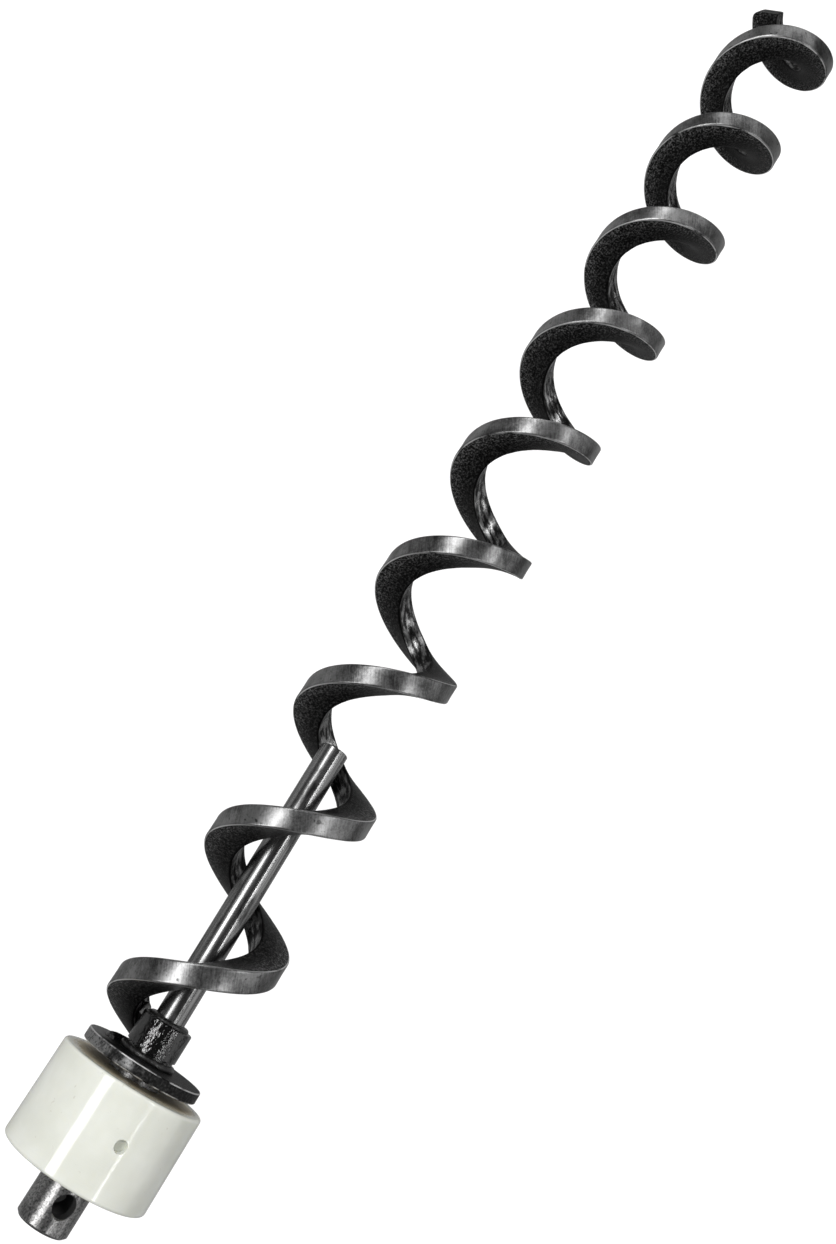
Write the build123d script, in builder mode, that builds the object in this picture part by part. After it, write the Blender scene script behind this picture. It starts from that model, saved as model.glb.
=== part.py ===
from build123d import *

import os
from math import cos, radians, sin

# Centreless feed auger with an end bushing. Millimetres. The auger's axis is X, from the motor end
# towards the free tip. The origin is the centre of the drive shaft's end face, and +Z is the side
# of the bushing that its screw dimple is drilled in. Angles are counted about X from +Y to +Z.

# Flight: a rectangular bar wound on edge
flight_diameter = 45.0
bar_width = 12.0
bar_thickness = 7.4
bar_edge_radius = 0.7
pitch = 54.25
turns = 9.15
flight_start_x = 56.5
flight_start_angle = -98.0
tip_outer_corner_radius = 3.0
tip_inner_corner_radius = 1.2

# Drive shaft: a stub turned from round bar
shaft_diameter = 17.1
shaft_length = 65.4
shaft_chamfer = 0.8
collar_chamfer = 0.3
motor_socket_diameter = 10.0
motor_socket_depth = 30.0
pin_hole_diameter = 7.0
pin_hole_x = 8.8
pin_hole_angle = 94.0
pin_countersink = 0.4
pin_countersink_angle = 90.0
neck_diameter = 16.0
neck_length = 2.9

# Thrust disc
disc_diameter = 40.0
disc_thickness = 3.6
disc_top_x = 53.2
disc_edge_radius = 0.4
disc_bore_gap = 0.05

# Nylon bushing
bushing_diameter = 49.0
bushing_start_x = 16.5
bushing_length = 30.5
bushing_edge_radius = 0.9
bushing_bore_chamfer = 0.5
running_clearance = 0.08
dimple_diameter = 4.0
dimple_depth = 2.5
dimple_x = 32.6
dimple_angle = 90.0

# Support rod, leaning from its loose socket to the inner edge of the flight
rod_diameter = 10.0
rod_chamfer = 0.3
rod_end_x = 166.5
rod_end_offset = 4.9
rod_lean_angle = -87.8
rod_socket_diameter = 11.2
rod_socket_depth = 18.0
rod_socket_floor_gap = 0.6

# Weld beads; the bulge is where the top of a bead's arc lies, as a share of its height and width
bead_bulge = 0.65
rod_bead_height = 1.8
rod_bead_outer_radius = 7.6
neck_bead_height = 2.3
neck_bead_width = 1.9
seam_bead_radius = 2.8
seam_bead_start = 3.0
seam_bead_sweep = 54.0
foot_bead_radius = 2.2
foot_bead_place = 13.4
foot_bead_start = 2.0
foot_bead_sweep = 96.0
tack_radius = 3.0
tack_back_set = 3.4
tack_inset = 0.4

# Derived sizes
flight_radius = flight_diameter / 2
bar_centre_radius = flight_radius - bar_width / 2
bar_inner_radius = flight_radius - bar_width
shaft_radius = shaft_diameter / 2
neck_radius = neck_diameter / 2
neck_top_x = disc_top_x + neck_length
disc_bottom_x = disc_top_x - disc_thickness
rod_radius = rod_diameter / 2
rod_socket_radius = rod_socket_diameter / 2
rod_socket_floor_x = shaft_length - rod_socket_depth
rod_start_x = rod_socket_floor_x + rod_socket_floor_gap
rod_pivot_x = shaft_length - rod_socket_depth / 2
bushing_bore_radius = shaft_radius + running_clearance


def around(angle, radius=1.0):
    """Y and Z of a point at an angle about the axis."""
    return radius * cos(radians(angle)), radius * sin(radians(angle))


def radial_plane(x, angle, radius):
    """Plane facing outwards at a radius, with its own X direction along the axis."""
    y, z = around(angle)
    return Plane(origin=(x, radius * y, radius * z), x_dir=(1, 0, 0), z_dir=(0, y, z))


def rod_axis_point(x):
    """Point of the support rod's centre line at x."""
    offset = rod_end_offset * (x - rod_pivot_x) / (rod_end_x - rod_pivot_x)
    return Vector(x, *around(rod_lean_angle, offset))


def rod_plane(x):
    """Plane across the support rod at x, facing the tip."""
    along = rod_axis_point(rod_end_x) - rod_axis_point(rod_start_x)
    return Plane(origin=rod_axis_point(x), z_dir=along)


def right_hand_coil(start_x, start_angle, radius, coil_turns):
    """Helix about the axis from a place and angle, advancing towards the tip."""
    coil = Helix(
        pitch=pitch,
        height=pitch * coil_turns,
        radius=radius,
        center=(start_x, 0, 0),
        direction=(1, 0, 0),
        mode=Mode.PRIVATE,
    )
    return coil.rotate(Axis.X, start_angle - 90)


def coil_plane(coil, end, angle):
    """Plane across a coil at one end, with its own X direction pointing outwards."""
    return Plane(origin=coil @ end, x_dir=(0, *around(angle)), z_dir=coil % end)


def write(piece, name):
    """Labels one piece and writes it out."""
    piece.label = name
    export_step(piece, f"parts/{name}.step")


os.makedirs("parts", exist_ok=True)

# Flight: right-handed, its first end square on the thrust disc, its tip with rounded corners.
flight_coil = right_hand_coil(flight_start_x, flight_start_angle, bar_centre_radius, turns)
tip_angle = flight_start_angle + 360 * turns
tip_outwards = Vector(0, *around(tip_angle))
tip_plane = Plane(
    origin=flight_coil @ 1,
    x_dir=tip_outwards,
    z_dir=tip_outwards.cross(flight_coil % 1),
)
with BuildPart() as flight:
    with BuildLine() as flight_path:
        add(flight_coil)
    with BuildSketch(coil_plane(flight_coil, 0, flight_start_angle)):
        RectangleRounded(bar_width, bar_thickness, bar_edge_radius)
    sweep(path=flight_path.wires()[0], is_frenet=True)
    for side, corner_radius in ((1, tip_outer_corner_radius), (-1, tip_inner_corner_radius)):
        with BuildSketch(tip_plane):
            with Locations((side * bar_width / 2, 0)):
                Rectangle(2 * corner_radius, 2 * corner_radius)
            with Locations((side * (bar_width / 2 - corner_radius), -corner_radius)):
                Circle(corner_radius, mode=Mode.SUBTRACT)
        extrude(amount=bar_thickness, both=True, mode=Mode.SUBTRACT)
write(flight.part, "flight")

# Drive shaft: a socket for the motor's shaft, a cross hole for its pin, a neck above the disc's
# seat and a socket for the support rod.
with BuildPart() as drive_shaft:
    with BuildSketch(Plane.XZ):
        with BuildLine():
            Polyline(
                (0, motor_socket_diameter / 2),
                (0, shaft_radius - shaft_chamfer),
                (shaft_chamfer, shaft_radius),
                (disc_top_x, shaft_radius),
                (disc_top_x, neck_radius),
                (neck_top_x, neck_radius),
                (neck_top_x, shaft_radius),
                (shaft_length - collar_chamfer, shaft_radius),
                (shaft_length, shaft_radius - collar_chamfer),
                (shaft_length, rod_socket_radius),
                (rod_socket_floor_x, rod_socket_radius),
                (rod_socket_floor_x, 0),
                (motor_socket_depth, 0),
                (motor_socket_depth, motor_socket_diameter / 2),
                close=True,
            )
        make_face()
    revolve(axis=Axis.X)
    for direction in (0, 180):
        with Locations(radial_plane(pin_hole_x, pin_hole_angle + direction, shaft_radius)):
            CounterSinkHole(
                radius=pin_hole_diameter / 2,
                counter_sink_radius=pin_hole_diameter / 2 + pin_countersink,
                depth=shaft_radius,
                counter_sink_angle=pin_countersink_angle,
            )
write(drive_shaft.part, "drive_shaft")

# Thrust disc: a flat washer on the shaft, between the bushing and the flight.
with BuildPart() as thrust_disc:
    with BuildSketch(Plane.YZ.offset(disc_bottom_x)):
        Circle(disc_diameter / 2)
        Circle(shaft_radius + disc_bore_gap, mode=Mode.SUBTRACT)
    extrude(amount=disc_thickness)
    rims = thrust_disc.edges().filter_by(GeomType.CIRCLE).group_by(SortBy.RADIUS)[-1]
    fillet(rims, disc_edge_radius)
write(thrust_disc.part, "thrust_disc")

# Nylon bushing: it stays in the feed tube and the shaft turns in it.
with BuildPart() as nylon_bushing:
    with BuildSketch(Plane.YZ.offset(bushing_start_x)):
        Circle(bushing_diameter / 2)
        Circle(bushing_bore_radius, mode=Mode.SUBTRACT)
    extrude(amount=bushing_length)
    bore_rims = nylon_bushing.edges().filter_by(GeomType.CIRCLE).group_by(SortBy.RADIUS)[0]
    chamfer(bore_rims, bushing_bore_chamfer)
    outer_rims = nylon_bushing.edges().filter_by(GeomType.CIRCLE).group_by(SortBy.RADIUS)[-1]
    fillet(outer_rims, bushing_edge_radius)
    with Locations(radial_plane(dimple_x, dimple_angle, bushing_diameter / 2)):
        Hole(dimple_diameter / 2, depth=dimple_depth)
write(nylon_bushing.part, "nylon_bushing")

# Support rod: plain round bar.
with BuildPart() as support_rod:
    with BuildSketch(rod_plane(rod_start_x)):
        Circle(rod_radius)
    extrude(amount=(rod_axis_point(rod_end_x) - rod_axis_point(rod_start_x)).length)
    chamfer(support_rod.edges().filter_by(GeomType.CIRCLE), rod_chamfer)
write(support_rod.part, "support_rod")

# Weld of the disc: a bead round the neck, on the disc's top face.
with BuildPart() as disc_weld:
    with BuildSketch(Plane.XZ):
        with BuildLine():
            Polyline(
                (disc_top_x + neck_bead_height, neck_radius),
                (disc_top_x, neck_radius),
                (disc_top_x, neck_radius + neck_bead_width),
            )
            ThreePointArc(
                (disc_top_x, neck_radius + neck_bead_width),
                (
                    disc_top_x + bead_bulge * neck_bead_height,
                    neck_radius + bead_bulge * neck_bead_width,
                ),
                (disc_top_x + neck_bead_height, neck_radius),
            )
        make_face()
    revolve(axis=Axis.X)
    add(flight.part, mode=Mode.SUBTRACT)
write(disc_weld.part, "weld_disc_to_shaft")

# Weld of the rod: a bead round its foot that bridges the socket's mouth.
with BuildPart() as rod_weld:
    with BuildSketch(Plane.XZ):
        with BuildLine():
            inner = rod_radius - rod_chamfer
            width = rod_bead_outer_radius - inner
            top = shaft_length + rod_bead_height
            Polyline((top, inner), (shaft_length, inner), (shaft_length, rod_bead_outer_radius))
            ThreePointArc(
                (shaft_length, rod_bead_outer_radius),
                (shaft_length + bead_bulge * rod_bead_height, inner + bead_bulge * width),
                (top, inner),
            )
        make_face()
    revolve(axis=Axis.X)
    add(support_rod.part, mode=Mode.SUBTRACT)
write(rod_weld.part, "weld_rod_to_shaft")

# Weld of the seam between the flight's inner edge and the shaft.
seam_start_x = flight_start_x + pitch * seam_bead_start / 360
seam_start_angle = flight_start_angle + seam_bead_start
seam_radius = (shaft_radius + bar_inner_radius) / 2
seam_coil = right_hand_coil(seam_start_x, seam_start_angle, seam_radius, seam_bead_sweep / 360)
with BuildPart() as seam_weld:
    with BuildLine() as seam_path:
        add(seam_coil)
    with BuildSketch(coil_plane(seam_coil, 0, seam_start_angle)):
        Circle(seam_bead_radius)
    sweep(path=seam_path.wires()[0], is_frenet=True)
    for piece in (flight, drive_shaft, disc_weld, rod_weld):
        add(piece.part, mode=Mode.SUBTRACT)
write(seam_weld.part, "weld_flight_to_shaft")

# Weld of the flight's foot to the disc: it starts under the bar and runs on round the disc's top
# face, inside the bar's middle, as the bar rises off the disc.
foot_angle = flight_start_angle + foot_bead_start
foot_plane = Plane(
    origin=(disc_top_x, 0, 0),
    x_dir=(0, *around(foot_angle)),
    z_dir=(0, *around(foot_angle + 90)),
)
with BuildPart() as foot_weld:
    with BuildSketch(foot_plane):
        with Locations((foot_bead_place, 0)):
            Circle(foot_bead_radius)
    revolve(axis=Axis.X, revolution_arc=foot_bead_sweep)
    with BuildSketch(Plane.YZ.offset(disc_top_x)):
        Circle(disc_diameter)
    extrude(amount=-2 * foot_bead_radius, mode=Mode.SUBTRACT)
    for piece in (flight, seam_weld, disc_weld):
        add(piece.part, mode=Mode.SUBTRACT)
write(foot_weld.part, "weld_flight_to_disc")

# Tack weld between the rod's far end and the flight's inner edge.
tack_x = rod_end_x - tack_back_set
tack_y, tack_z = around(rod_lean_angle, bar_inner_radius - tack_inset)
with BuildPart() as tack_weld:
    with Locations((tack_x, tack_y, tack_z)):
        Sphere(tack_radius)
    for piece in (flight, support_rod):
        add(piece.part, mode=Mode.SUBTRACT)
write(tack_weld.part, "weld_rod_to_flight")
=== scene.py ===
"""Looks of a centreless feed auger: an edge-wound flight welded to a drive stub that turns in a bushing."""

import logging
import math
from dataclasses import dataclass, field
from enum import Enum
from typing import Any, Optional, Union

import bmesh
import bpy
from mathutils import Matrix, Vector


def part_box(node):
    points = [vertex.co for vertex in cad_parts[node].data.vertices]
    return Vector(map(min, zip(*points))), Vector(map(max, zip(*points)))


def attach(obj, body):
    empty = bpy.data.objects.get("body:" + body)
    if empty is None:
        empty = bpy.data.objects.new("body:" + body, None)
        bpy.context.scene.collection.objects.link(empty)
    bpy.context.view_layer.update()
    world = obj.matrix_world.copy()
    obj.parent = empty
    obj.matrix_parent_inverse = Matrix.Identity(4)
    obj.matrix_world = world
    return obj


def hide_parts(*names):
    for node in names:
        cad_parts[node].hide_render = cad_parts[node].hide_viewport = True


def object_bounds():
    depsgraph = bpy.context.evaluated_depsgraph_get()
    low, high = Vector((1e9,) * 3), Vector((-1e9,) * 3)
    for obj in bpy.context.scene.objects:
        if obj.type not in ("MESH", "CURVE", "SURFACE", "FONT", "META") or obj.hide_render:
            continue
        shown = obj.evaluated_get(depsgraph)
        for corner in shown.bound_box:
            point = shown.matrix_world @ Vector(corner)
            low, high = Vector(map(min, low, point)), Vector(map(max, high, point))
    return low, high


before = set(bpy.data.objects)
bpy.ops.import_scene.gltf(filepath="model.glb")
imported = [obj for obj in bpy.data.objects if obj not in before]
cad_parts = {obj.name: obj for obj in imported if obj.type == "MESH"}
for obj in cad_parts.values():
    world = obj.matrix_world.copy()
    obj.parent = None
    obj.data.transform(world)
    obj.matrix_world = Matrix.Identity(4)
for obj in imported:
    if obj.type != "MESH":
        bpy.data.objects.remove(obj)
CAD_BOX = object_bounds()
MM = 0.001
log = logging.getLogger("auger")


class Wire:
    """The value of one node socket, which Python's operators work on by adding Math nodes."""

    def __init__(self, graph: "Graph", socket: bpy.types.NodeSocket) -> None:
        """Wraps a socket of a graph."""
        self.graph = graph
        self.socket = socket

    def maths(self, operation: str, *values: "Number") -> "Wire":
        """Adds one Math node.

        Args:
            operation: The node's operation.
            values: Its operands, in order.

        Returns:
            The node's result.
        """
        return self.graph.add("ShaderNodeMath", {"operation": operation}, dict(enumerate(values)))

    def __add__(self, other: "Number") -> "Wire":
        """Returns self + other."""
        return self.maths("ADD", self, other)

    def __radd__(self, other: "Number") -> "Wire":
        """Returns other + self."""
        return self.maths("ADD", other, self)

    def __sub__(self, other: "Number") -> "Wire":
        """Returns self - other."""
        return self.maths("SUBTRACT", self, other)

    def __rsub__(self, other: "Number") -> "Wire":
        """Returns other - self."""
        return self.maths("SUBTRACT", other, self)

    def __mul__(self, other: "Number") -> "Wire":
        """Returns self * other."""
        return self.maths("MULTIPLY", self, other)

    def __rmul__(self, other: "Number") -> "Wire":
        """Returns other * self."""
        return self.maths("MULTIPLY", other, self)

    def __truediv__(self, other: "Number") -> "Wire":
        """Returns self / other."""
        return self.maths("DIVIDE", self, other)

    def __rtruediv__(self, other: "Number") -> "Wire":
        """Returns other / self."""
        return self.maths("DIVIDE", other, self)

    def __pow__(self, other: "Number") -> "Wire":
        """Returns self to the power of other."""
        return self.maths("POWER", self, other)

    def __rpow__(self, other: "Number") -> "Wire":
        """Returns other to the power of self."""
        return self.maths("POWER", other, self)

    def __neg__(self) -> "Wire":
        """Returns -self."""
        return self.maths("MULTIPLY", self, -1.0)

    def __abs__(self) -> "Wire":
        """Returns the absolute value of self."""
        return self.maths("ABSOLUTE", self)

    def fraction(self) -> "Wire":
        """Returns the part of self after the decimal point."""
        return self.maths("FRACT", self)

    def sin(self) -> "Wire":
        """Returns the sine of self, in radians."""
        return self.maths("SINE", self)

    def cos(self) -> "Wire":
        """Returns the cosine of self, in radians."""
        return self.maths("COSINE", self)

    def root(self) -> "Wire":
        """Returns the square root of self, or 0 below 0."""
        return self.maths("SQRT", self.at_least(0.0))

    def at_least(self, low: "Number") -> "Wire":
        """Returns the larger of self and low."""
        return self.maths("MAXIMUM", self, low)

    def at_most(self, high: "Number") -> "Wire":
        """Returns the smaller of self and high."""
        return self.maths("MINIMUM", self, high)


Number = Union[float, Wire]
Colour = tuple[float, float, float, float]


def grey(level: float, warmth: float = 0.0) -> Colour:
    """Returns an opaque grey of a linear level, yellower with warmth."""
    return (level * (1 + warmth), level, level * (1 - warmth), 1.0)


class Graph:
    """A node tree that is built by calls, one node each."""

    def __init__(self, tree: bpy.types.NodeTree) -> None:
        """Takes the tree to build in."""
        self.tree = tree

    @staticmethod
    def find(sockets: Any, key: Union[int, str]) -> bpy.types.NodeSocket:
        """Returns the socket with an index, an identifier or a name."""
        if isinstance(key, int):
            return sockets[key]
        exact = [socket for socket in sockets if socket.identifier == key]
        return (exact or [socket for socket in sockets if socket.name == key])[0]

    def add(
        self,
        kind: str,
        settings: Optional[dict[str, Any]] = None,
        sockets: Optional[dict[Union[int, str], Any]] = None,
        out: Union[int, str] = 0,
    ) -> Wire:
        """Adds a node.

        Args:
            kind: The node's type.
            settings: Its own properties, set before anything else.
            sockets: The values or wires of its inputs.
            out: Which output to return.

        Returns:
            The wire of that output.
        """
        node = self.tree.nodes.new(kind)
        for name, value in (settings or {}).items():
            setattr(node, name, value)
        for key, value in (sockets or {}).items():
            socket = self.find(node.inputs, key)
            if isinstance(value, Wire):
                self.tree.links.new(value.socket, socket)
            else:
                socket.default_value = value
        return Wire(self, self.find(node.outputs, out))

    def parts(self, vector: Wire) -> tuple[Wire, Wire, Wire]:
        """Returns the X, Y and Z of a vector."""
        first = self.add("ShaderNodeSeparateXYZ", sockets={0: vector})
        return tuple(Wire(self, socket) for socket in first.socket.node.outputs)

    def vector(self, x: Number, y: Number, z: Number) -> Wire:
        """Returns a vector of three values."""
        return self.add("ShaderNodeCombineXYZ", sockets={0: x, 1: y, 2: z})

    def noise(self, vector: Wire, scale: float, detail: float = 2.0, rough: float = 0.5) -> Wire:
        """Returns smooth noise between about 0 and 1.

        Args:
            vector: Where the noise is read.
            scale: Its cells per metre.
            detail: How many finer octaves it has.
            rough: How strong the finer octaves are.

        Returns:
            The noise's value.
        """
        sockets = {"Vector": vector, "Scale": scale, "Detail": detail, "Roughness": rough}
        return self.add("ShaderNodeTexNoise", {"noise_dimensions": "3D"}, sockets)

    def step(self, value: Wire, low: float, high: float) -> Wire:
        """Returns 0 below low, 1 above high and a smooth rise between them."""
        sockets = {"Value": value, "From Min": low, "From Max": high}
        return self.add("ShaderNodeMapRange", {"interpolation_type": "SMOOTHSTEP"}, sockets)


class Finish(Graph):
    """A material of one Principled shader, built on Object coordinates and the piece's attributes."""

    def __init__(self, name: str) -> None:
        """Makes an empty material."""
        self.material = bpy.data.materials.new(name)
        self.material.use_nodes = True
        super().__init__(self.material.node_tree)
        self.tree.nodes.clear()
        self.place = self.add("ShaderNodeTexCoord", out="Object")
        self.x, self.y, self.z = self.parts(self.place)

    def attribute(self, name: str) -> Wire:
        """Returns a number stored on the piece's points."""
        return self.add("ShaderNodeAttribute", {"attribute_name": name}, out="Fac")

    def radius(self) -> Wire:
        """Returns the distance from the auger's axis."""
        return (self.y * self.y + self.z * self.z).root()

    def angle(self) -> Wire:
        """Returns the angle about the auger's axis, from +Y to +Z, in radians."""
        return self.z.maths("ARCTAN2", self.z, self.y)

    def blend(self, share: Number, first: Any, second: Any) -> Wire:
        """Returns the mix of two colours, all of the second where the share is 1."""
        sockets = {"Factor_Float": share, "A_Color": first, "B_Color": second}
        return self.add("ShaderNodeMix", {"data_type": "RGBA"}, sockets, "Result_Color")

    def shade(
        self,
        colour: Any,
        metal: Number,
        rough: Number,
        relief: Optional[Wire] = None,
        depth: float = 0.0,
        fixed: Optional[dict[str, Any]] = None,
    ) -> bpy.types.Material:
        """Ends the material in its shader.

        Args:
            colour: The base colour.
            metal: How metallic it is.
            rough: Its roughness.
            relief: The height pattern of its fine relief, from 0 to 1.
            depth: That pattern's height in metres.
            fixed: Other sockets of the shader that are the same all over.

        Returns:
            The material.
        """
        sockets = {"Base Color": colour, "Metallic": metal, "Roughness": rough, **(fixed or {})}
        if relief is not None:
            bump = {"Strength": 1.0, "Distance": depth, "Height": relief}
            sockets["Normal"] = self.add("ShaderNodeBump", sockets=bump)
        shader = self.add("ShaderNodeBsdfPrincipled", sockets=sockets)
        output = self.tree.nodes.new("ShaderNodeOutputMaterial")
        self.tree.links.new(shader.socket, output.inputs["Surface"])
        return self.material


class GeometryTree(Graph):
    """A geometry node tree with named inputs, which makes plain mesh pieces."""

    def __init__(self, name: str) -> None:
        """Makes an empty tree."""
        super().__init__(bpy.data.node_groups.new(name, "GeometryNodeTree"))
        self.tree.interface.new_socket("Piece", in_out="OUTPUT", socket_type="NodeSocketGeometry")
        self.source = self.tree.nodes.new("NodeGroupInput")
        self.identifiers: dict[str, str] = {}

    def size(self, name: str, kind: str = "NodeSocketFloat") -> Wire:
        """Adds a named input and returns its wire."""
        item = self.tree.interface.new_socket(name, in_out="INPUT", socket_type=kind)
        self.identifiers[name] = item.identifier
        return Wire(self, self.find(self.source.outputs, item.identifier))

    def store(self, geometry: Wire, name: str, value: Wire) -> Wire:
        """Returns the geometry with a number stored on its points."""
        sockets = {"Geometry": geometry, "Name": name, "Value": value}
        settings = {"data_type": "FLOAT", "domain": "POINT"}
        return self.add("GeometryNodeStoreNamedAttribute", settings, sockets)

    def stored(self, name: str) -> Wire:
        """Returns a number stored on the points."""
        return self.add("GeometryNodeInputNamedAttribute", {"data_type": "FLOAT"}, {"Name": name})

    def sink(self, geometry: Wire, depth: Wire) -> Wire:
        """Returns the geometry with its surface pushed inwards by a depth."""
        normal = self.add("GeometryNodeInputNormal")
        sockets = {0: normal, "Scale": -depth}
        offset = self.add("ShaderNodeVectorMath", {"operation": "SCALE"}, sockets)
        return self.add("GeometryNodeSetPosition", sockets={"Geometry": geometry, "Offset": offset})

    def finish(self, geometry: Wire) -> None:
        """Ends the tree in Realize Instances and Set Material."""
        finish = self.size("Finish", "NodeSocketMaterial")
        smooth = self.add("GeometryNodeSetShadeSmooth", sockets={"Geometry": geometry})
        whole = self.add("GeometryNodeRealizeInstances", sockets={"Geometry": smooth})
        dressed = self.add("GeometryNodeSetMaterial", sockets={"Geometry": whole, "Material": finish})
        output = self.tree.nodes.new("NodeGroupOutput")
        self.tree.links.new(dressed.socket, output.inputs[0])

    def make(self, name: str, values: dict[str, Any]) -> bpy.types.Object:
        """Evaluates the tree once.

        Args:
            name: The new piece's name.
            values: The value of each named input.

        Returns:
            A plain mesh object with no modifier.
        """
        piece = bpy.data.objects.new(name, bpy.data.meshes.new(name))
        bpy.context.scene.collection.objects.link(piece)
        modifier = piece.modifiers.new("Making", "NODES")
        modifier.node_group = self.tree
        for key, value in values.items():
            modifier[self.identifiers[key]] = value
        depsgraph = bpy.context.evaluated_depsgraph_get()
        mesh = bpy.data.meshes.new_from_object(
            piece.evaluated_get(depsgraph), preserve_all_data_layers=True, depsgraph=depsgraph
        )
        piece.modifiers.remove(modifier)
        piece.data = mesh
        return piece


class Slot(Enum):
    """The record's material slot names for the flight and the welds; no piece in this script is given them.
    """

    FLIGHT = "flight_steel"
    WELD = "weld_metal"


@dataclass(frozen=True)
class FlightSteel:
    """Dark mill scale on the flanks, painted darker towards the inner edge as painted shade, a rim burnished
    by the feed tube and bright edges that are partly wear and partly painted highlight.

    Grains are in cells per metre. Depths are measured from the rim, and reaches from the inner edge.
    """

    rim_radius: float
    inner_radius: float
    edge_radius: float
    fleck_grain: float = 1350.0
    cloud_grain: float = 90.0
    pit_grain: float = 520.0
    brush_grain: float = 4200.0
    brush_stretch: float = 160.0
    flow_grain: tuple[float, float, float] = (150.0, 700.0, 300.0)
    rim_depths: tuple[float, float] = (0.35 * MM, 0.05 * MM)
    worn_and_lit_edge_depth: float = 0.45 * MM
    bore_reaches: tuple[float, float] = (0.1 * MM, 0.5 * MM)
    inner_shade_reaches: tuple[float, float] = (0.6 * MM, 1.3 * MM)
    shade_reach: float = 1.0 * MM
    relief_depth: float = 0.12 * MM

    def inward(self, finish: Finish, reaches: tuple[float, float]) -> Wire:
        """Returns 1 nearer the inner edge than two reaches, and 0 past them."""
        low, high = reaches
        return 1.0 - finish.step(finish.radius(), self.inner_radius + low, self.inner_radius + high)

    def material(self) -> bpy.types.Material:
        """Returns the material."""
        finish = Finish("scaled flight steel")
        radius = finish.radius()
        run = finish.attribute("run")
        through = finish.attribute("through")
        rim = finish.step(radius, self.rim_radius - self.rim_depths[0], self.rim_radius - self.rim_depths[1])
        worn_and_lit_edge = finish.step(radius, self.rim_radius - self.edge_radius, self.rim_radius - self.worn_and_lit_edge_depth)
        bore = self.inward(finish, self.bore_reaches)
        # Painted shade: a black band on the flanks beside the inner edge.
        inner_shade = self.inward(finish, self.inner_shade_reaches)
        speckle = finish.noise(finish.place, self.fleck_grain, 3.0, 0.75)
        cloud = finish.noise(finish.place, self.cloud_grain, 3.0, 0.6)
        stretch = self.brush_stretch
        across = finish.vector(run * self.brush_grain, radius * stretch, finish.x * stretch)
        brush = finish.noise(across, 1.0, 2.0, 0.6)
        pits = finish.step(finish.noise(finish.place, self.pit_grain, 2.0, 0.6), 0.62, 0.72)
        along, deep, outer = self.flow_grain
        flow = finish.noise(finish.vector(run * along, through * deep, radius * outer), 1.0, 3.0, 0.6)

        # Painted shade: the light flecks thin out towards the inner edge, so the flanks darken there.
        shade_falloff = finish.step(radius, self.inner_radius + self.shade_reach, self.rim_radius)
        flecks = finish.step(speckle, 0.44, 0.68) * (0.2 + 0.8 * shade_falloff * shade_falloff)
        scale = finish.blend(flecks, grey(0.0002), grey(0.18))
        scale = finish.blend(finish.step(cloud, 0.5, 0.8) * 0.4, scale, grey(0.012))
        scale = finish.blend(inner_shade, scale, grey(0.0002))
        rub = brush * 0.2 + cloud * 0.55 + speckle * 0.25
        rubbed_and_lit = finish.blend(finish.step(rub, 0.36, 0.64), grey(0.06), grey(0.3))
        rubbed_and_lit = finish.blend(pits * finish.step(cloud, 0.45, 0.65) * 0.8, rubbed_and_lit, grey(0.02))
        wound = finish.blend(finish.step(flow, 0.42, 0.64), grey(0.02), grey(0.28))
        colour = finish.blend(bore, scale, wound)
        # Partly wear, partly painted highlight: a bright band on the rounded edge beside the rim, broken by
        # cloud.
        colour = finish.blend(worn_and_lit_edge * (1.0 - rim) * finish.step(cloud, 0.3, 0.5), colour, grey(0.75))
        colour = finish.blend(rim, colour, rubbed_and_lit)
        bright = rim.at_least(bore).at_least(worn_and_lit_edge)
        rough = 0.42 - 0.08 * rim - 0.16 * bore + 0.16 * (speckle - 0.5) + 0.1 * (brush - 0.5) * rim
        relief = speckle * (1.0 - 0.88 * bright) * 0.9 + brush * rim * 0.06 + cloud * 0.5
        relief = relief + flow * bore * 2.5
        fixed = {"Specular IOR Level": 0.06}
        return finish.shade(colour, bright, rough, relief, self.relief_depth, fixed)


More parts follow.
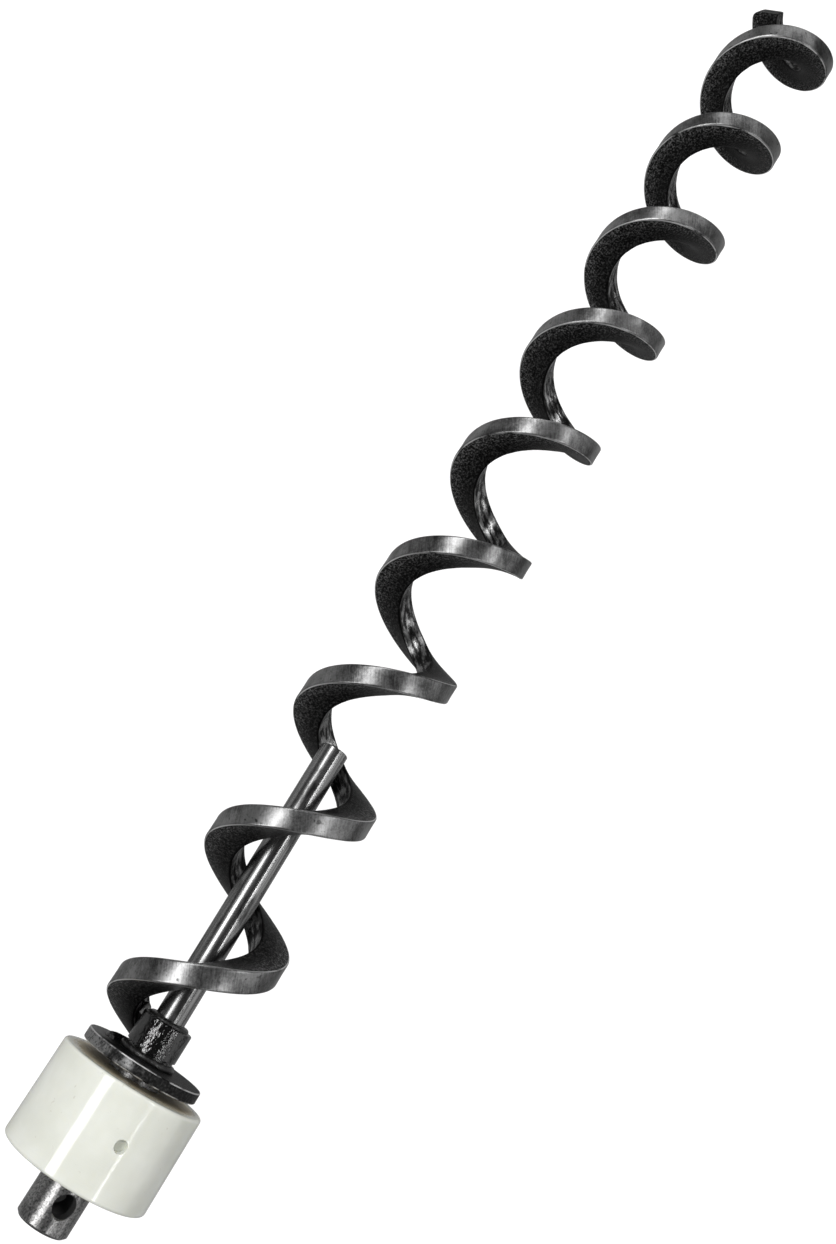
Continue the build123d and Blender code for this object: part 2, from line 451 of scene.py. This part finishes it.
@dataclass(frozen=True)
class ShaftSteel:
    """Turned stub: dull grey below the neck, thick black scale on the welded collar above it."""

    collar_from: float
    bare_radius: float
    grain: float = 1500.0
    cloud_grain: float = 140.0
    lump_grain: float = 420.0
    turning_grain: float = 4200.0
    turning_stretch: float = 110.0
    scale_waver: float = 4.0 * MM
    scale_fade: float = 1.0 * MM
    hole_shade_depths: tuple[float, float] = (0.6 * MM, 0.2 * MM)
    relief_depth: float = 0.16 * MM

    def material(self) -> bpy.types.Material:
        """Returns the material."""
        finish = Finish("turned stub steel")
        grain = finish.noise(finish.place, self.grain, 3.0, 0.7)
        cloud = finish.noise(finish.place, self.cloud_grain, 3.0, 0.6)
        lumps = finish.noise(finish.place, self.lump_grain, 3.0, 0.6)
        stretch = self.turning_stretch
        around = finish.vector(finish.x * self.turning_grain, finish.y * stretch, finish.z * stretch)
        turning = finish.noise(around, 1.0, 2.0, 0.6)
        edge = finish.x + (cloud - 0.5) * self.scale_waver
        scale = finish.step(edge, self.collar_from, self.collar_from + self.scale_fade)
        bare = finish.blend(finish.step(grain, 0.3, 0.72), grey(0.10), grey(0.41, 0.01))
        bare = finish.blend(finish.step(cloud, 0.5, 0.72) * 0.6, bare, grey(0.06))
        burnt = finish.blend(finish.step(grain, 0.5, 0.8), grey(0.001), grey(0.012))
        # Painted shade: below the collar, the surface inside the turned radius (the cross hole's walls and
        # the end face) is painted near-black, matt and not metallic.
        low, high = (self.bare_radius - depth for depth in self.hole_shade_depths)
        hole_shade = (1.0 - finish.step(finish.radius(), low, high)) * (1.0 - scale)
        colour = finish.blend(hole_shade, finish.blend(scale, bare, burnt), grey(0.002))
        metal = (0.95 - 0.9 * scale) * (1.0 - hole_shade)
        rough = 0.3 - 0.18 * scale + 0.16 * (grain - 0.5) + 0.4 * hole_shade
        relief = grain * (0.3 - 0.2 * scale) + lumps * scale * 3.0 + turning * 0.5 * (1.0 - scale)
        return finish.shade(colour, metal, rough, relief, self.relief_depth, {"Specular IOR Level": 1.0})


@dataclass(frozen=True)
class DiscSteel:
    """Black scaled washer whose rim is lighter in patches gathered on one side and along its corners, partly
    wear and partly painted highlight, with a painted pool of light on one side of its face.
    """

    rim_radius: float
    middle: float
    half: float
    grain: float = 1300.0
    cloud_grain: float = 120.0
    rim_depths: tuple[float, float] = (0.5 * MM, 0.1 * MM)
    corner_depths: tuple[float, float] = (0.45 * MM, 0.2 * MM)
    lit_patch_radii: tuple[float, float] = (13.0 * MM, 15.5 * MM)
    lit_patch_angle: float = math.radians(-35.0)
    relief_depth: float = 0.25 * MM

    def material(self) -> bpy.types.Material:
        """Returns the material."""
        finish = Finish("scaled disc steel")
        radius = finish.radius()
        grain = finish.noise(finish.place, self.grain, 3.0, 0.7)
        cloud = finish.noise(finish.place, self.cloud_grain, 3.0, 0.6)
        rim = finish.step(radius, self.rim_radius - self.rim_depths[0], self.rim_radius - self.rim_depths[1])
        # Partly wear, partly painted highlight: lighter patches on the rim, gathered towards the +Y side.
        rim_wear_and_highlight = finish.step(finish.angle().cos() * 0.35 + cloud, 0.66, 0.86)
        face = finish.blend(finish.step(grain, 0.4, 0.8), grey(0.001), grey(0.03))
        face = finish.blend(finish.step(cloud, 0.42, 0.6), face, grey(0.001))
        # Painted light: a grey pool in a ring near the rim on one side of the face, broken by grain.
        turned = (finish.angle() - self.lit_patch_angle).cos()
        rubbed_and_lit = finish.step(radius, *self.lit_patch_radii) * finish.step(turned, 0.4, 0.85)
        face = finish.blend(rubbed_and_lit * finish.step(grain, 0.2, 0.5), face, grey(0.2))
        edge = finish.blend(finish.step(grain, 0.4, 0.75), grey(0.002), grey(0.035))
        edge = finish.blend(rim_wear_and_highlight * finish.step(grain, 0.3, 0.55), edge, grey(0.3))
        colour = finish.blend(rim, face, edge)
        # Partly wear, partly painted highlight: bright lines along both corners of the rim.
        low, high = (self.half - depth for depth in self.corner_depths)
        worn_and_lit_edge = finish.step(abs(finish.x - self.middle), low, high) * rim
        colour = finish.blend(worn_and_lit_edge * finish.step(cloud, 0.4, 0.55), colour, grey(0.65))
        metal = 0.3 + 0.65 * (rim_wear_and_highlight * rim).at_least(worn_and_lit_edge)
        rough = 0.45 + 0.2 * (grain - 0.5)
        relief = grain + cloud * 0.8
        return finish.shade(colour, metal, rough, relief, self.relief_depth, {"Specular IOR Level": 0.15})


@dataclass(frozen=True)
class RodSteel:
    """Drawn bar: smooth, with fine lines and darker stains along its length."""

    pivot: float
    lean: float
    lean_angle: float
    grain: float = 1700.0
    line_grain: float = 1500.0
    line_stretch: float = 25.0
    stain_grain: float = 180.0
    stain_stretch: float = 60.0
    relief_depth: float = 0.035 * MM

    def material(self) -> bpy.types.Material:
        """Returns the material."""
        finish = Finish("drawn rod steel")
        offset = (finish.x - self.pivot) * self.lean
        y = finish.y - offset * math.cos(self.lean_angle)
        z = finish.z - offset * math.sin(self.lean_angle)
        drawn = finish.vector(finish.x * self.line_stretch, y * self.line_grain, z * self.line_grain)
        lines = finish.noise(drawn, 1.0, 3.0, 0.65)
        grain = finish.noise(finish.place, self.grain, 3.0, 0.7)
        spread = finish.vector(finish.x * self.stain_stretch, y * self.stain_grain, z * self.stain_grain)
        stain = finish.noise(spread, 1.0, 3.0, 0.6)
        colour = finish.blend(finish.step(lines, 0.3, 0.7), grey(0.14), grey(0.34))
        colour = finish.blend(finish.step(stain, 0.48, 0.66) * 0.85, colour, grey(0.02))
        colour = finish.blend(finish.step(grain, 0.62, 0.78) * 0.6, colour, grey(0.02))
        rough = 0.27 + 0.14 * (stain - 0.5) + 0.1 * (grain - 0.5)
        relief = lines * 0.2 + grain * 0.2
        return finish.shade(colour, 1.0, rough, relief, self.relief_depth)


@dataclass(frozen=True)
class WeldMetal:
    """Black oxide over rippled weld, glinting where it has flaked."""

    grain: float = 1400.0
    flake_grain: float = 800.0
    relief_depth: float = 0.15 * MM

    def material(self) -> bpy.types.Material:
        """Returns the material."""
        finish = Finish("oxidised weld")
        grain = finish.noise(finish.place, self.grain, 3.0, 0.7)
        flake = finish.step(finish.noise(finish.place, self.flake_grain, 2.0, 0.6), 0.58, 0.66)
        colour = finish.blend(finish.step(grain, 0.4, 0.75), grey(0.003), grey(0.02, 0.03))
        colour = finish.blend(flake * 0.5, colour, grey(0.12))
        rough = 0.3 - 0.08 * flake + 0.1 * (grain - 0.5)
        return finish.shade(colour, 0.4 * flake, rough, grain, self.relief_depth)


@dataclass(frozen=True)
class Nylon:
    """Turned natural nylon: waxy, with faint lathe lines, scuffs, a stain and painted shade on the face by
    the disc, and a bore painted paler as painted light.
    """

    disc_side: float
    radius: float
    bore: float
    cloud_grain: float = 60.0
    dirt_grain: float = 420.0
    lathe_grain: float = 3300.0
    face_depths: tuple[float, float] = (0.25 * MM, 0.02 * MM)
    shade_and_stain_depths: tuple[float, float] = (5.0 * MM, 1.0 * MM)
    bore_fade: float = 0.6 * MM
    scatter_depth: float = 3.0 * MM
    relief_depth: float = 0.03 * MM

    def material(self) -> bpy.types.Material:
        """Returns the material."""
        finish = Finish("natural nylon")
        radius = finish.radius()
        cloud = finish.noise(finish.place, self.cloud_grain, 3.0, 0.6)
        dirt = finish.noise(finish.place, self.dirt_grain, 4.0, 0.7)
        rings = finish.vector(finish.x * self.lathe_grain, radius * self.lathe_grain, 0.0)
        lathe = finish.noise(rings, 1.0, 2.0, 0.5)
        mottle = finish.step(cloud, 0.3, 0.7)
        body = finish.blend(mottle, (0.72, 0.732, 0.665, 1), (0.79, 0.802, 0.745, 1))
        face_low, face_high = (self.disc_side - depth for depth in self.face_depths)
        stain_low, stain_high = (self.radius - depth for depth in self.shade_and_stain_depths)
        inner = 1.0 - finish.step(radius, stain_low, stain_high)
        # Painted shade: the face by the disc is painted a darker tan inside a ring short of the rim; the
        # brown stain over it follows noise.
        painted_shade_face = finish.step(finish.x, face_low, face_high) * inner
        stain = painted_shade_face * finish.step(cloud * 0.5 + dirt * 0.5, 0.36, 0.5)
        colour = finish.blend(painted_shade_face, body, (0.60, 0.55, 0.42, 1))
        colour = finish.blend(stain * 0.35, colour, (0.26, 0.17, 0.06, 1))
        colour = finish.blend(finish.step(dirt, 0.66, 0.74) * 0.35, colour, (0.42, 0.38, 0.30, 1))
        # Painted light: the bore's wall is painted a paler cream to lift its shade.
        bore_painted_light = 1.0 - finish.step(radius, self.bore - self.bore_fade, self.bore)
        colour = finish.blend(bore_painted_light, colour, (0.88, 0.88, 0.62, 1))
        rough = 0.13 + 0.08 * (cloud - 0.5) + 0.3 * stain + 0.08 * (dirt - 0.5)
        fixed = {
            "Subsurface Weight": 0.5,
            "Subsurface Radius": (0.9, 0.85, 0.7),
            "Subsurface Scale": self.scatter_depth,
            "Specular IOR Level": 0.5,
        }
        relief = lathe * 0.5 + dirt * 0.3 + cloud * 1.4
        return finish.shade(colour, 0.0, rough, relief, self.relief_depth, fixed)


@dataclass
class Flight:
    """The edge-wound bar: a straight bar with a rounded tip, wound on edge about the axis."""

    start: float = 56.5 * MM
    start_angle: float = math.radians(-98.0)
    pitch: float = 54.25 * MM
    turns: float = 9.15
    width: float = 12.0 * MM
    thickness: float = 7.4 * MM
    edge_radius: float = 0.7 * MM
    outer_corner: float = 3.0 * MM
    inner_corner: float = 1.2 * MM
    steps_per_turn: int = 90
    cuts: int = 7
    edge_steps: int = 4
    weld_distance: float = 0.001 * MM
    tube_gap: float = 2.0 * MM
    wrinkle: float = 0.28 * MM
    dent: float = 0.12 * MM
    fold_grain: float = 420.0
    fold_slant: float = 260.0
    fold_spread: float = 120.0
    dent_grain: float = 110.0
    bore_shares: tuple[float, float] = (0.62, 0.72)
    seed: int = 5
    outer_radius: float = field(init=False)

    def __post_init__(self) -> None:
        """Takes the rim's radius from the frame."""
        low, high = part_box("nylon_bushing")
        self.outer_radius = (high[1] - low[1]) / 2 - self.tube_gap

    @property
    def centre_radius(self) -> float:
        """The radius of the bar's centre line."""
        return self.outer_radius - self.width / 2

    @property
    def rise(self) -> float:
        """The angle between the bar and a plane across the axis."""
        return math.atan(self.pitch / (2 * math.pi * self.centre_radius))

    @staticmethod
    def rounding(across: Wire, side: float, corner: Wire, half: Wire) -> Wire:
        """How far a rounded corner draws the tip's end back.

        Args:
            across: The place across the bar's width.
            side: 1 for the outer corner, -1 for the inner one.
            corner: The corner's radius.
            half: Half the bar's width.

        Returns:
            The distance at each point.
        """
        inside = (across * side - half + corner).at_least(0.0).at_most(corner)
        return corner - (corner * corner - inside * inside).root()

    def bar_tree(self) -> GeometryTree:
        """Returns the tree that makes the bar and winds it."""
        tree = GeometryTree("edge-wound bar")
        start, angle, pitch = tree.size("Start"), tree.size("Start Angle"), tree.size("Pitch")
        turns, centre, rise = tree.size("Turns"), tree.size("Centre Radius"), tree.size("Rise")
        length, width = tree.size("Length"), tree.size("Width")
        thickness, edge = tree.size("Thickness"), tree.size("Edge Radius")
        outer, inner = tree.size("Outer Corner"), tree.size("Inner Corner")
        rings, cuts = tree.size("Rings", "NodeSocketInt"), tree.size("Cuts", "NodeSocketInt")
        wrinkle, dent = tree.size("Wrinkle"), tree.size("Dent")
        seed = tree.size("Seed")

        line = tree.add("GeometryNodeCurvePrimitiveLine", sockets={"End": tree.vector(length, 0.0, 0.0)})
        line = tree.add("GeometryNodeResampleCurve", sockets={"Curve": line, "Count": rings})
        sockets = {"Curve": line, "Normal": (0.0, 1.0, 0.0)}
        line = tree.add("GeometryNodeSetCurveNormal", {"mode": "FREE"}, sockets)
        section = tree.add("GeometryNodeCurvePrimitiveQuadrilateral", sockets={0: width, 1: thickness})
        section = tree.add("GeometryNodeSubdivideCurve", sockets={"Curve": section, "Cuts": cuts})
        sockets = {"Curve": section, "Count": self.edge_steps, "Radius": edge}
        section = tree.add("GeometryNodeFilletCurve", {"mode": "POLY"}, sockets)
        outline = tree.add("GeometryNodeCurveToMesh", sockets={"Curve": section})
        sockets = {"Geometry": outline, "Distance": self.weld_distance}
        outline = tree.add("GeometryNodeMergeByDistance", sockets=sockets)
        section = tree.add("GeometryNodeMeshToCurve", sockets={"Mesh": outline})
        bar = tree.add("GeometryNodeCurveToMesh", sockets={"Curve": line, "Profile Curve": section})

        along, across, through = tree.parts(tree.add("GeometryNodeInputPosition"))
        half = width * 0.5
        drawn_back = self.rounding(across, 1.0, outer, half)
        drawn_back = drawn_back + self.rounding(across, -1.0, inner, half)
        bar = tree.store(bar, "run", along)
        bar = tree.store(bar, "through", through)
        share = along / length * (1.0 - drawn_back / length)
        turn = angle + share * turns * (2 * math.pi)
        radius = centre + across
        position = tree.vector(
            start + share * turns * pitch - through * rise.cos(),
            radius * turn.cos() - through * rise.sin() * turn.sin(),
            radius * turn.sin() + through * rise.sin() * turn.cos(),
        )
        wound = tree.add("GeometryNodeSetPosition", sockets={"Geometry": bar, "Position": position})

        x, y, z = tree.parts(tree.add("GeometryNodeInputPosition"))
        bore = 1.0 - tree.step((y * y + z * z).root() / centre, *self.bore_shares)
        run, depth = tree.stored("run"), tree.stored("through")
        slanted = run * self.fold_grain + depth * self.fold_slant
        place = tree.vector(slanted, seed, depth * self.fold_spread)
        folds = tree.noise(place, 1.0, 1.0) * wrinkle * bore
        dents = tree.noise(tree.vector(x + seed, y, z), self.dent_grain, 2.0) * dent
        tree.finish(tree.sink(wound, folds + dents))
        return tree

    def close_ends(self, piece: bpy.types.Object) -> None:
        """Closes both ends with strips across the bar's thickness."""
        shape = bmesh.new()
        shape.from_mesh(piece.data)
        shape.verts.ensure_lookup_table()
        count = sum(1 for vertex in shape.verts if vertex.is_boundary) // 2
        through = shape.verts.layers.float["through"]
        for first in (0, len(shape.verts) - count):
            pairs = self.facing_pairs(shape.verts[first : first + count], through)
            for (a, b), (c, d) in zip(pairs, pairs[1:]):
                corners = list(dict.fromkeys((a, b, d, c)))
                if len(corners) > 2:
                    shape.faces.new(corners).smooth = False
        bmesh.ops.recalc_face_normals(shape, faces=shape.faces)
        shape.to_mesh(piece.data)
        shape.free()

    @staticmethod
    def facing_pairs(ring: list[bmesh.types.BMVert], through: Any) -> list[tuple[Any, Any]]:
        """Pairs the points of an end that face each other across the bar's thickness.

        Args:
            ring: The end's points, in order round it.
            through: The layer that holds each point's place through the thickness.

        Returns:
            The pairs, from the middle of the bar's inner edge outwards.
        """
        count = len(ring)
        middle = min(range(count), key=lambda i: abs(ring[i][through]) + ring[i].co.length)
        return [(ring[(middle + i) % count], ring[(middle - i) % count]) for i in range(count // 2 + 1)]

    def build(self, finish: bpy.types.Material) -> bpy.types.Object:
        """Makes the flight.

        Args:
            finish: Its material.

        Returns:
            The flight's object.
        """
        turn_length = math.hypot(2 * math.pi * self.centre_radius, self.pitch)
        values = {
            "Start": self.start,
            "Start Angle": self.start_angle,
            "Pitch": self.pitch,
            "Turns": self.turns,
            "Centre Radius": self.centre_radius,
            "Rise": self.rise,
            "Length": turn_length * self.turns,
            "Width": self.width,
            "Thickness": self.thickness,
            "Edge Radius": self.edge_radius,
            "Outer Corner": self.outer_corner,
            "Inner Corner": self.inner_corner,
            "Rings": int(self.turns * self.steps_per_turn),
            "Cuts": self.cuts,
            "Wrinkle": self.wrinkle,
            "Dent": self.dent,
            "Seed": float(self.seed),
            "Finish": finish,
        }
        piece = self.bar_tree().make("wound_flight", values)
        self.close_ends(piece)
        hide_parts("flight")
        return piece


@dataclass
class Bead:
    """One weld bead on a helical path about the auger's axis."""

    name: str
    node: str
    place: float
    advance: float
    radius: float
    start_angle: float
    sweep: float
    size: float
    flatten: float = 1.0
    lean: tuple[float, float] = (0.0, 0.0)


@dataclass
class Welds:
    """The rippled beads that join the steel pieces."""

    shaft_end: float
    disc_top: float
    ripple_pitch: float = 1.5 * MM
    ripple_height: float = 0.22
    ripple_lead: float = 0.35
    ripple_swing: float = 1.5
    wander_grain: float = 3.0
    wander_reach: float = 0.35
    wander_swell: float = 0.25
    bump_grain: float = 700.0
    bump_height: float = 0.16
    section_sides: int = 24
    step_length: float = 0.25 * MM
    fewest_steps: int = 24
    end_taper: float = 0.9
    end_power: float = 6.0

    def bead_tree(self) -> GeometryTree:
        """Returns the tree that makes one bead along its path."""
        tree = GeometryTree("weld bead")
        place, advance, radius = tree.size("Place"), tree.size("Advance"), tree.size("Radius")
        angle, sweep, size = tree.size("Start Angle"), tree.size("Sweep"), tree.size("Size")
        flatten, taper, seed = tree.size("Flatten"), tree.size("Taper"), tree.size("Seed")
        lean_y, lean_z = tree.size("Lean Y"), tree.size("Lean Z")
        ripples, points = tree.size("Ripples"), tree.size("Points", "NodeSocketInt")

        line = tree.add("GeometryNodeCurvePrimitiveLine", sockets={"End": (1.0, 0.0, 0.0)})
        line = tree.add("GeometryNodeResampleCurve", sockets={"Curve": line, "Count": points})
        share, _, _ = tree.parts(tree.add("GeometryNodeInputPosition"))
        turn = angle + share * sweep
        wander = tree.noise(tree.vector(share * sweep * self.wander_grain, seed, 0.0), 1.0, 2.0) - 0.5
        reach = radius + wander * size * self.wander_reach
        position = tree.vector(
            place + share * advance, reach * turn.cos() + lean_y, reach * turn.sin() + lean_z
        )
        path = tree.add("GeometryNodeSetPosition", sockets={"Geometry": line, "Position": position})
        lap = ((share * ripples).fraction() - self.ripple_lead) * self.ripple_swing
        swell = 1.0 - lap * lap * self.ripple_height + wander * self.wander_swell
        ends = (1.0 - abs(share * 2.0 - 1.0) ** self.end_power * taper).root()
        sockets = {"Curve": path, "Normal": (1.0, 0.0, 0.0)}
        path = tree.add("GeometryNodeSetCurveNormal", {"mode": "FREE"}, sockets)
        sockets = {"Resolution": self.section_sides, "Radius": size}
        ring = tree.add("GeometryNodeCurvePrimitiveCircle", sockets=sockets)
        sockets = {"Geometry": ring, "Scale": tree.vector(flatten, 1.0, 1.0)}
        ring = tree.add("GeometryNodeTransform", sockets=sockets)
        sockets = {"Curve": path, "Profile Curve": ring, "Scale": swell * ends, "Fill Caps": True}
        bead = tree.add("GeometryNodeCurveToMesh", sockets=sockets)
        position = tree.add("GeometryNodeInputPosition")
        bumps = tree.noise(position, self.bump_grain, 2.0, 0.6) * size * self.bump_height
        tree.finish(tree.sink(bead, bumps))
        return tree

    def beads(self) -> list[Bead]:
        """Returns every bead with its place."""
        return [
            Bead(
                name="neck_bead",
                node="weld_disc_to_shaft",
                place=self.disc_top + 0.7 * MM,
                advance=0.0,
                radius=8.5 * MM,
                start_angle=-60.0,
                sweep=368.0,
                size=1.6 * MM,
            ),
            Bead(
                name="rod_foot_bead",
                node="weld_rod_to_shaft",
                place=self.shaft_end + 0.1 * MM,
                advance=0.0,
                radius=5.95 * MM,
                start_angle=20.0,
                sweep=372.0,
                size=1.35 * MM,
                flatten=0.9,
                lean=(0.0, -0.2 * MM),
            ),
            Bead(
                name="seam_bead",
                node="weld_flight_to_shaft",
                place=57.0 * MM,
                advance=8.1 * MM,
                radius=9.6 * MM,
                start_angle=-95.0,
                sweep=54.0,
                size=2.8 * MM,
            ),
            Bead(
                name="foot_bead",
                node="weld_flight_to_disc",
                place=self.disc_top,
                advance=0.0,
                radius=13.4 * MM,
                start_angle=-96.0,
                sweep=96.0,
                size=2.3 * MM,
            ),
            Bead(
                name="tack_bead",
                node="weld_rod_to_flight",
                place=161.6 * MM,
                advance=3.0 * MM,
                radius=10.1 * MM,
                start_angle=-96.0,
                sweep=18.0,
                size=2.5 * MM,
            ),
        ]

    def build(self, finish: bpy.types.Material) -> list[bpy.types.Object]:
        """Makes every bead.

        Args:
            finish: Their material.

        Returns:
            The beads' objects.
        """
        tree = self.bead_tree()
        made = []
        for seed, bead in enumerate(self.beads(), 3):
            length = math.hypot(bead.radius * math.radians(bead.sweep), bead.advance)
            values = {
                "Place": bead.place,
                "Advance": bead.advance,
                "Radius": bead.radius,
                "Start Angle": math.radians(bead.start_angle),
                "Sweep": math.radians(bead.sweep),
                "Size": bead.size,
                "Flatten": bead.flatten,
                "Taper": 0.0 if bead.sweep > 360 else self.end_taper,
                "Seed": float(seed),
                "Lean Y": bead.lean[0],
                "Lean Z": bead.lean[1],
                "Ripples": length / self.ripple_pitch,
                "Points": max(self.fewest_steps, int(length / self.step_length)),
                "Finish": finish,
            }
            piece = tree.make(bead.name, values)
            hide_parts(bead.node)
            made.append(piece)
        return made


@dataclass
class DriveEnd:
    """The stub, its disc, the support rod and the bushing, which keep their shapes from the frame."""

    rod_pivot: float = 56.4 * MM
    rod_lean: float = 4.9 / 110.1
    rod_lean_angle: float = math.radians(-87.8)
    bushing_bore: float = 8.63 * MM

    @staticmethod
    def radius(node: str) -> float:
        """Returns half of a node's width."""
        low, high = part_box(node)
        return (high[1] - low[1]) / 2

    def finishes(self) -> dict[str, bpy.types.Material]:
        """Returns the finish of each node."""
        disc_low, disc_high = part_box("thrust_disc")
        disc_middle = (disc_low[0] + disc_high[0]) / 2
        disc_half = (disc_high[0] - disc_low[0]) / 2
        bushing_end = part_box("nylon_bushing")[1][0]
        shaft = ShaftSteel(disc_low[0], self.radius("drive_shaft"))
        disc = DiscSteel(self.radius("thrust_disc"), disc_middle, disc_half)
        rod = RodSteel(self.rod_pivot, self.rod_lean, self.rod_lean_angle)
        nylon = Nylon(bushing_end, self.radius("nylon_bushing"), self.bushing_bore)
        return {
            "drive_shaft": shaft.material(),
            "thrust_disc": disc.material(),
            "support_rod": rod.material(),
            "nylon_bushing": nylon.material(),
        }

    def dress(self) -> None:
        """Gives each carried-over node its finish."""
        for node, material in self.finishes().items():
            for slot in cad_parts[node].material_slots:
                slot.material = material
            log.info("%s: dressed in %s", node, material.name)


@dataclass
class Softbox:
    """A softbox about the auger's axis, facing it, with its length along the axis unless it slants."""

    name: str
    angle: float
    distance: float
    along: float
    length: float
    width: float
    power: float
    slant: float = 0.0

    def build(self, target: Vector) -> None:
        """Adds the light."""
        light = bpy.data.lights.new(self.name, "AREA")
        light.shape = "RECTANGLE"
        light.size = self.length
        light.size_y = self.width
        light.energy = self.power
        angle, slant = math.radians(self.angle), math.radians(self.slant)
        radial = Vector((0.0, math.cos(angle), math.sin(angle)))
        axis = Vector((1.0, 0.0, 0.0))
        back = radial * math.cos(slant) + axis * math.sin(slant)
        side = axis.cross(radial)
        turn = Matrix((side.cross(back), -side, back)).transposed().to_4x4()
        lamp = bpy.data.objects.new(self.name, light)
        lamp.matrix_world = Matrix.Translation(target + axis * self.along + back * self.distance) @ turn
        lamp.visible_camera = False
        bpy.context.scene.collection.objects.link(lamp)


@dataclass
class Studio:
    """A pale floor that curves up at its edge, long softboxes and the camera."""

    floor_level: float
    centre: Vector
    floor_radius: float = 5.0
    curve_radius: float = 4.0
    wall_height: float = 8.0
    floor_sides: int = 64
    curve_steps: int = 12
    eye: tuple[float, float, float] = (0.09365, 0.11794, 0.37181)
    right: tuple[float, float, float] = (0.509, -0.75667, 0.41033)
    up: tuple[float, float, float] = (0.80372, 0.58844, 0.08814)
    ahead: tuple[float, float, float] = (0.30815, -0.28492, -0.90767)
    lens: float = 33.65
    sensor: float = 36.0
    nearest: float = 0.01
    floor_grain: float = 3.0
    floor_glow: float = 0.98
    room_level: float = 0.9
    room_strength: float = 0.06

    def floor_finish(self) -> bpy.types.Material:
        """Returns the floor's pale matt material."""
        finish = Finish("pale floor")
        cloud = finish.noise(finish.place, self.floor_grain, 2.0)
        colour = finish.blend(cloud, grey(0.05), grey(0.07))
        fixed = {"Emission Color": grey(1.0), "Emission Strength": self.floor_glow}
        return finish.shade(colour, 0.0, 0.9, fixed=fixed)

    def floor_mesh(self) -> bpy.types.Mesh:
        """Returns a round floor that curves up into a plain wall, as a studio's does."""
        rings = [(self.floor_radius, 0.0)]
        for step in range(1, self.curve_steps + 1):
            rise = math.pi / 2 * step / self.curve_steps
            reach = self.floor_radius + self.curve_radius * math.sin(rise)
            rings.append((reach, self.curve_radius * (1 - math.cos(rise))))
        rings.append((self.floor_radius + self.curve_radius, self.wall_height))
        shape = bmesh.new()
        loops = []
        for radius, height in rings:
            loop = []
            for side in range(self.floor_sides):
                turn = 2 * math.pi * side / self.floor_sides
                place = (radius * math.cos(turn), radius * math.sin(turn), self.floor_level + height)
                loop.append(shape.verts.new(place))
            loops.append(loop)
        shape.faces.new(loops[0])
        for lower, upper in zip(loops, loops[1:]):
            for side in range(self.floor_sides):
                after = (side + 1) % self.floor_sides
                shape.faces.new((lower[side], upper[side], upper[after], lower[after]))
        for face in shape.faces:
            face.smooth = True
        mesh = bpy.data.meshes.new("floor")
        shape.to_mesh(mesh)
        shape.free()
        mesh.materials.append(self.floor_finish())
        return mesh

    def lamps(self) -> list[Softbox]:
        """Returns the softboxes."""
        return [
            Softbox(
                name="main softbox",
                angle=44.0,
                distance=0.9,
                along=0.0,
                length=1.7,
                width=0.22,
                power=11.0,
            ),
            Softbox(
                name="low strip",
                angle=115.0,
                distance=0.9,
                along=-0.638,
                length=0.48,
                width=0.045,
                power=1.1,
            ),
            Softbox(
                name="short strip",
                angle=115.0,
                distance=0.9,
                along=-0.355,
                length=0.015,
                width=0.045,
                power=0.035,
            ),
            Softbox(
                name="long strip",
                angle=116.0,
                distance=0.9,
                along=0.197,
                length=0.95,
                width=0.09,
                power=2.8,
            ),
            Softbox(
                name="side panel",
                angle=150.0,
                distance=1.1,
                along=0.0,
                length=1.9,
                width=0.9,
                power=3.6,
            ),
            Softbox(
                name="table bounce",
                angle=-90.0,
                distance=0.0235,
                along=0.1,
                length=0.9,
                width=0.3,
                power=0.17,
            ),
            Softbox(
                name="end panel",
                angle=85.0,
                distance=1.1,
                along=0.2,
                length=0.7,
                width=0.9,
                power=2.0,
                slant=50.0,
            ),
        ]

    def add_floor(self) -> None:
        """Adds the floor, whose glow lights nothing but itself."""
        floor = bpy.data.objects.new("floor", self.floor_mesh())
        bpy.context.scene.collection.objects.link(floor)
        glow = bpy.data.collections.new("lit by the floor")
        glow.objects.link(floor)
        floor.light_linking.receiver_collection = glow

    def add_room(self) -> None:
        """Adds the dim light of the room."""
        world = bpy.data.worlds.new("studio")
        world.use_nodes = True
        background = world.node_tree.nodes["Background"]
        background.inputs["Color"].default_value = grey(self.room_level)
        background.inputs["Strength"].default_value = self.room_strength
        bpy.context.scene.world = world

    def add_camera(self) -> None:
        """Adds the camera."""
        camera = bpy.data.objects.new("camera", bpy.data.cameras.new("camera"))
        camera.data.lens = self.lens
        camera.data.sensor_width = self.sensor
        camera.data.clip_start = self.nearest
        back = [-value for value in self.ahead]
        turn = Matrix((self.right, self.up, back)).transposed().to_4x4()
        camera.matrix_world = Matrix.Translation(self.eye) @ turn
        bpy.context.scene.collection.objects.link(camera)
        bpy.context.scene.camera = camera

    def build(self) -> None:
        """Adds the floor, the lights, the room and the camera."""
        self.add_floor()
        for lamp in self.lamps():
            lamp.build(self.centre)
        self.add_room()
        self.add_camera()
        bpy.context.scene.view_settings.view_transform = "Standard"


def main() -> None:
    """Builds every sub-assembly in order and reports each piece."""
    logging.basicConfig(level=logging.INFO, format="%(name)s: %(message)s")
    low, high = CAD_BOX
    shaft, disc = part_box("drive_shaft"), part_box("thrust_disc")
    flight = Flight()
    steel = FlightSteel(flight.outer_radius, flight.outer_radius - flight.width, flight.edge_radius)
    pieces = [flight.build(steel.material())]
    pieces += Welds(shaft[1][0], disc[1][0]).build(WeldMetal().material())
    for piece in pieces:
        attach(piece, "screw")
        log.info("%s: %d faces", piece.name, len(piece.data.polygons))
    DriveEnd().dress()
    centre = Vector(((low[0] + high[0]) / 2, 0.0, 0.0))
    Studio(low[2], centre).build()


if __name__ == "__main__":
    main()
